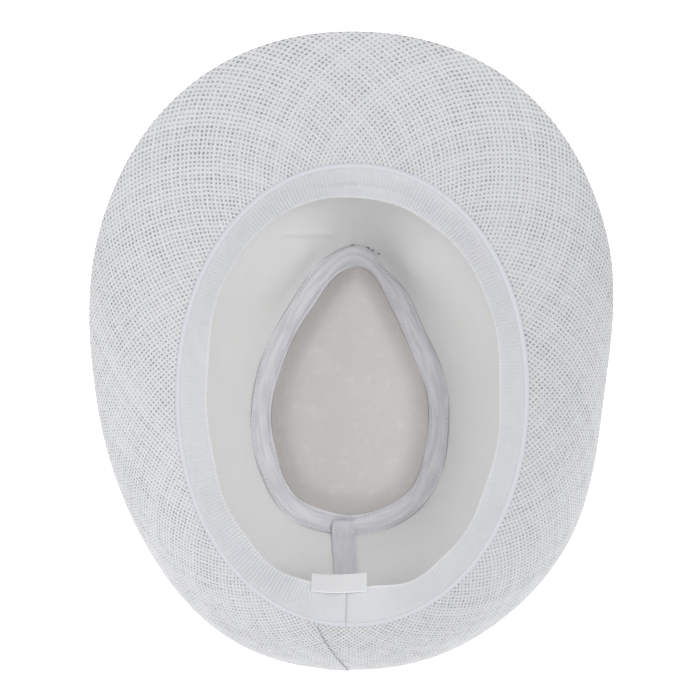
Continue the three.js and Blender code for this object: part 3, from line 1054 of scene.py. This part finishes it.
def make_seam_stitches(material):
    """The fine stitches along the brim's join at the back, painted very dark also as the shade in the
    join's groove.
    """
    shares = np.linspace(0.06, 0.98, SEAM_STITCHES + 1)
    before = shares - SEAM_STITCH_HALF
    after = shares + SEAM_STITCH_HALF
    starts = brim_place(seam_angle(before), before, -SEAM_LIFT - STITCH_LIFT)
    ends = brim_place(seam_angle(after), after, -SEAM_LIFT - STITCH_LIFT)
    normals = brim_place(seam_angle(shares), shares, -1) - brim_place(seam_angle(shares), shares, 0)
    piece = stitch_row("brim_seam_stitches", material, starts, ends, normals, FINE_THREAD, STITCH_LIFT)
    add_piece(piece, "straw")


class Nodes:
    """A material's nodes, with arithmetic that reads as a line of text."""

    def __init__(self, name):
        self.material = bpy.data.materials.new(name)
        self.material.use_nodes = True
        self.tree = self.material.node_tree
        self.shader = self.tree.nodes["Principled BSDF"]

    def feed(self, socket, value):
        if isinstance(value, bpy.types.NodeSocket):
            self.tree.links.new(value, socket)
        else:
            socket.default_value = value

    def math(self, operation, *values):
        node = self.tree.nodes.new("ShaderNodeMath")
        node.operation = operation
        for socket, value in zip(node.inputs, values):
            self.feed(socket, value)
        return node.outputs[0]

    def add(self, first, second):
        return self.math("ADD", first, second)

    def minus(self, first, second):
        return self.math("SUBTRACT", first, second)

    def times(self, first, second):
        return self.math("MULTIPLY", first, second)

    def cosine(self, value, factor):
        """The cosine of a value times a factor."""
        return self.math("COSINE", self.times(value, factor))

    def cloth(self):
        """The two lengths along the cloth, in the unit of the piece's uvs."""
        node = self.tree.nodes.new("ShaderNodeUVMap")
        node.uv_map = "cloth"
        return self.split(node.outputs[0])

    def split(self, vector):
        node = self.tree.nodes.new("ShaderNodeSeparateXYZ")
        self.feed(node.inputs[0], vector)
        return node.outputs[0], node.outputs[1]

    def join(self, x, y):
        node = self.tree.nodes.new("ShaderNodeCombineXYZ")
        for socket, value in zip(node.inputs, (x, y)):
            self.feed(socket, value)
        return node.outputs[0]

    def noise(self, vector, scale, detail=2.0):
        node = self.tree.nodes.new("ShaderNodeTexNoise")
        self.feed(node.inputs["Vector"], vector)
        self.feed(node.inputs["Scale"], scale)
        self.feed(node.inputs["Detail"], detail)
        return node.outputs[0]

    def random(self, x, y):
        """A number from 0 to 1 for each pair of whole numbers."""
        node = self.tree.nodes.new("ShaderNodeTexWhiteNoise")
        node.noise_dimensions = "2D"
        self.feed(node.inputs["Vector"], self.join(self.math("ROUND", x), self.math("ROUND", y)))
        return node.outputs[0]

    def ramp(self, value, low, high):
        """A smooth step from 0 to 1 of a value between two limits."""
        node = self.tree.nodes.new("ShaderNodeMapRange")
        node.interpolation_type = "SMOOTHSTEP"
        for socket, number in zip(node.inputs, (value, low, high)):
            self.feed(socket, number)
        return node.outputs[0]

    def mix(self, share, first, second):
        node = self.tree.nodes.new("ShaderNodeMix")
        node.data_type = "RGBA"
        self.feed(node.inputs[0], share)
        self.feed(node.inputs[6], first)
        self.feed(node.inputs[7], second)
        return node.outputs[2]

    def scaled(self, color, factor):
        """A colour made lighter or darker by a factor."""
        node = self.tree.nodes.new("ShaderNodeVectorMath")
        node.operation = "SCALE"
        self.feed(node.inputs[0], color if isinstance(color, bpy.types.NodeSocket) else color[:3])
        self.feed(node.inputs[3], factor)
        return node.outputs[0]

    def bump(self, height, distance):
        node = self.tree.nodes.new("ShaderNodeBump")
        node.inputs["Strength"].default_value = 1.0
        node.inputs["Distance"].default_value = distance * MM
        self.feed(node.inputs["Height"], height)
        self.feed(self.shader.inputs["Normal"], node.outputs[0])

    def finish(self, color, roughness, sheen=0.0):
        self.feed(self.shader.inputs["Base Color"], color)
        self.feed(self.shader.inputs["Roughness"], roughness)
        self.shader.inputs["Sheen Weight"].default_value = sheen
        self.shader.inputs["Specular IOR Level"].default_value = CLOTH_GLOSS
        return self.material


def straw_material(name, side_shade_share):
    """Open plain weave of paper yarn: two sets of yarns on the bias, with a small hole between them. The
    holes are painted dark and the yarns' low parts darker as shade, their tops lighter as a highlight,
    and, by the second argument, the side towards +X greyer as shade.
    """
    n = Nodes(name)
    u, v = n.cloth()
    place = n.join(u, v)
    drift = n.times(n.minus(n.noise(place, 0.45), 0.5), YARN_DRIFT)
    drift_across = n.times(n.minus(n.noise(n.join(v, u), 0.45), 0.5), YARN_DRIFT)
    a = n.add(n.add(u, v), drift)
    b = n.add(n.minus(u, v), drift_across)
    along_a = n.cosine(a, FULL_TURN)
    along_b = n.cosine(b, FULL_TURN)
    yarn_a = yarn_height(n, along_b, a, b)
    yarn_b = yarn_height(n, along_a, b, a)
    turn_a = n.cosine(a, math.pi)
    turn_b = n.cosine(b, math.pi)
    over = n.times(n.times(turn_a, turn_b), OVER_AND_UNDER)
    height_a = n.times(yarn_a, n.add(1.0, over))
    height_b = n.times(yarn_b, n.minus(1.0, over))
    height = n.math("MAXIMUM", height_a, height_b)
    gap = n.times(n.minus(1.0, yarn_a), n.minus(1.0, yarn_b))
    cell = n.random(n.add(a, 0.5), n.add(b, 0.5))
    patches = n.times(n.minus(n.noise(place, 0.12), 0.5), PATCHINESS)
    varied = n.times(n.minus(cell, 0.5), HOLE_VARIETY)
    size = n.add(gap, n.add(varied, patches))
    # Painted shade: where the holes are, the straw is painted dark grey.
    hole = n.ramp(size, HOLE_STARTS, HOLE_FULL)
    streaks = n.noise(n.join(n.times(a, 6.0), n.times(b, 6.0)), 1.0, 3.0)
    # Painted shade and highlight: each yarn is painted darker where it lies low and lighter on its top.
    shade = n.ramp(n.add(height, n.times(streaks, 0.5)), 0.45, 1.15)
    yarn = n.mix(shade, YARN_PAINTED_SHADE, YARN_COLOR)
    # Painted shade: the yarns are painted darker on the side towards +X, round the hat by the sine of u.
    around = n.math("SINE", n.times(u, FULL_TURN / BRIM_TURNS))
    side_shaded_yarn = n.scaled(yarn, n.add(1 - side_shade_share, n.times(around, side_shade_share)))
    color = n.mix(hole, side_shaded_yarn, PAINTED_HOLE_SHADE)
    n.bump(n.add(height, n.times(streaks, 0.25)), 0.25)
    return n.finish(color, 0.62)


def yarn_height(n, across, along, number):
    """A yarn's rounded height, from the cosine across it, with a thickness that varies along it."""
    whole = n.random(number, 7.0)
    thick = n.noise(n.join(n.times(along, 0.7), n.math("ROUND", number)), 1.0)
    change = n.times(n.minus(n.add(whole, thick), 1.0), YARN_VARIETY)
    half = n.add(n.times(across, 0.5), n.add(0.5, change))
    return n.math("MINIMUM", n.math("MAXIMUM", half, 0.0), 1.0)


def fine_weave(n, u, v, pitch):
    """A fine square weave's height, from lengths in millimetres."""
    one = n.cosine(u, FULL_TURN / pitch)
    other = n.cosine(v, FULL_TURN / pitch)
    return n.math("MAXIMUM", one, other)


def lining_material(name, color, shade, pitch, loose_weave):
    """Thin cotton with slubs, yarns of uneven thickness both ways, and small loose spots."""
    n = Nodes(name)
    u, v = n.cloth()
    place = n.join(u, v)
    weave = fine_weave(n, u, v, pitch)
    slub_u = n.noise(n.join(n.times(u, 2.2), n.times(v, 0.12)), 1.0)
    slub_v = n.noise(n.join(n.times(u, 0.12), n.times(v, 2.2)), 1.0)
    slubs = n.add(slub_u, slub_v)
    cloudy = n.noise(place, 0.05)
    tone = n.add(n.times(slubs, 0.7), n.times(cloudy, 0.6))
    base = n.mix(n.ramp(tone, 0.75, 1.25), shade, color)
    spots = n.ramp(n.noise(place, LOOSE_SPOTS_SCALE, 1.0), LOOSE_SPOTS_START, LOOSE_SPOTS_FULL)
    even = n.times(n.minus(weave, WEAVE_MEAN), EVEN_WEAVE)
    loose = n.times(n.times(n.add(weave, WEAVE_MEAN), spots), loose_weave)
    bright = n.add(LINING_BRIGHT, n.add(even, loose))
    n.bump(n.add(n.times(weave, EVEN_RELIEF), slubs), 0.06)
    return n.finish(n.scaled(base, bright), 0.9, 0.1)


def sweatband_material():
    n = Nodes("ribbed band")
    u, v = n.cloth()
    rib_shade = n.cosine(u, FULL_TURN * RIBS / HEAD_ROUND)
    cloudy = n.noise(n.join(u, v), 0.04)
    streak = n.noise(n.join(n.times(u, 0.12), n.times(v, 0.1)), 1.0)
    tone = n.add(n.times(streak, 0.5), n.times(cloudy, 0.5))
    base = n.mix(n.ramp(tone, 0.35, 0.65), BAND_SHADE, BAND_COLOR)
    hem_from = SWEATBAND_WIDTH - HEM_WIDTH
    # Painted highlight: the hem at the free edge is painted lighter.
    hem_highlighted = n.mix(n.ramp(v, hem_from - 0.7, hem_from), base, HEM_HIGHLIGHT)
    topped = n.mix(n.ramp(v, -0.2, 1.4), TOP_COLOR, hem_highlighted)
    edged = n.mix(n.ramp(v, -1.7, -0.8), LIP_COLOR, topped)
    joint = n.ramp(n.math("ABSOLUTE", n.minus(u, JOINT_AT)), 0.1, 0.55)
    edged = n.mix(joint, JOINT_COLOR, edged)
    # Painted shade and highlight: the ribs' tops are painted a little lighter and the grooves between
    # them a little darker.
    bright = n.add(0.995, n.times(rib_shade, 0.005))
    n.bump(cloudy, 0.3)
    return n.finish(n.scaled(edged, bright), 0.7, 0.2)


def tape_material(name, color, shade, runs_along_v=False):
    n = Nodes(name)
    u, v = n.cloth()
    if runs_along_v:
        u, v = v, u
    weave = fine_weave(n, u, v, 0.6)
    # Painted shade: the soft folds are painted darker as well as raised by the bump.
    folds = n.noise(n.join(n.times(u, 0.06), n.times(v, 0.4)), 1.0, 3.0)
    base = n.mix(n.ramp(folds, 0.35, 0.65), shade, color)
    n.bump(n.add(weave, n.times(folds, 2.0)), 0.08)
    return n.finish(base, 0.8, 0.2)


def label_material():
    """Smooth woven satin with fine lines across."""
    n = Nodes("label satin")
    u, v = n.cloth()
    lines = n.cosine(v, FULL_TURN / 0.45)
    twill = n.cosine(n.add(u, v), FULL_TURN / 0.9)
    bright = n.add(0.98, n.times(lines, 0.02))
    n.bump(n.add(lines, twill), 0.03)
    return n.finish(n.scaled(LABEL_COLOR, bright), 0.5, 0.15)


def thread_material(name, color):
    n = Nodes(name)
    u, v = n.cloth()
    twist = n.math("SINE", n.add(n.times(v, 30.0), n.times(u, 1.05)))
    bright = n.add(0.93, n.times(twist, 0.07))
    n.bump(twist, 0.04)
    return n.finish(n.scaled(color, bright), 0.7)


def make_camera():
    data = bpy.data.cameras.new("camera")
    data.sensor_width = 36
    data.lens = data.sensor_width * CAMERA_DISTANCE / VIEW_WIDTH
    data.clip_start = 0.01
    data.clip_end = 50
    camera = bpy.data.objects.new("camera", data)
    bpy.context.scene.collection.objects.link(camera)
    cos, sin = math.cos(OPENING_TILT), math.sin(OPENING_TILT)
    forward = np.array([0, cos, sin])
    back = np.array([0, -sin, cos])
    right = np.array([1.0, 0, 0])
    turned_right = math.cos(CAMERA_ROLL) * right + math.sin(CAMERA_ROLL) * forward
    turned_up = math.cos(CAMERA_ROLL) * forward - math.sin(CAMERA_ROLL) * right
    place = from_opening(CAMERA_ACROSS, CAMERA_FORWARD, CAMERA_DISTANCE) * MM
    matrix = np.eye(4)
    matrix[:3, 0] = turned_right
    matrix[:3, 1] = turned_up
    matrix[:3, 2] = back
    matrix[:3, 3] = place
    camera.matrix_world = Matrix(matrix.tolist())
    bpy.context.scene.camera = camera


def make_floor():
    half = FLOOR_SIZE / 2
    corners = [(-half, -half, 0), (half, -half, 0), (half, half, 0), (-half, half, 0)]
    mesh = bpy.data.meshes.new("floor")
    mesh.from_pydata(corners, [], [(0, 1, 2, 3)])
    n = Nodes("pale floor")
    n.shader.inputs["Emission Color"].default_value = (1, 1, 1, 1)
    n.shader.inputs["Emission Strength"].default_value = FLOOR_GLOW
    mesh.materials.append(n.finish(FLOOR_COLOR, 0.9))
    floor = bpy.data.objects.new("floor", mesh)
    bpy.context.scene.collection.objects.link(floor)


def make_lights():
    for k, (place, size, power) in enumerate(SOFT_LIGHTS):
        data = bpy.data.lights.new(f"soft_light_{k}", "AREA")
        data.shape = "DISK"
        data.size = size
        data.energy = power
        light = bpy.data.objects.new(f"soft_light_{k}", data)
        light.location = place
        towards = -np.array(place) / np.linalg.norm(place)
        light.rotation_mode = "QUATERNION"
        light.rotation_quaternion = Vector(towards).to_track_quat("-Z", "Y")
        light.visible_camera = False
        bpy.context.scene.collection.objects.link(light)
    world = bpy.data.worlds.new("studio")
    world.use_nodes = True
    background = world.node_tree.nodes["Background"]
    background.inputs[0].default_value = (1, 1, 1, 1)
    background.inputs[1].default_value = WORLD_LIGHT
    bpy.context.scene.world = world
    bpy.context.scene.view_settings.view_transform = "Standard"


make_camera()
make_brim(straw_material("brim straw", PAINTED_SIDE_SHADE))
crown_straw = straw_material("crown straw", 0.0)
make_crown_side(crown_straw)
make_crown_tip(crown_straw)
side_cloth = (SIDE_LINING_COLOR, SIDE_LINING_SHADE, SIDE_LINING_PITCH, 0.0)
make_side_lining(lining_material("side lining", *side_cloth))
tip_cloth = (TIP_LINING_COLOR, TIP_LINING_SHADE, TIP_LINING_PITCH, LOOSE_WEAVE)
make_tip_lining(lining_material("tip lining", *tip_cloth))
make_sweatband(sweatband_material())
make_tip_tape(tape_material("tape", TAPE_COLOR, TAPE_FOLD_SHADE))
make_back_tape(tape_material("back tape", BACK_TAPE_COLOR, BACK_TAPE_FOLD_SHADE, runs_along_v=True))
make_label(label_material())
make_join_stitches(thread_material("pale blue thread", BLUE_THREAD))
make_tape_stitches(thread_material("grey thread", GREY_THREAD))
make_loose_threads(thread_material("dark thread", DARK_THREAD))
make_seam_stitches(thread_material("seam thread", SEAM_THREAD_AND_SHADE))
make_floor()
make_lights()
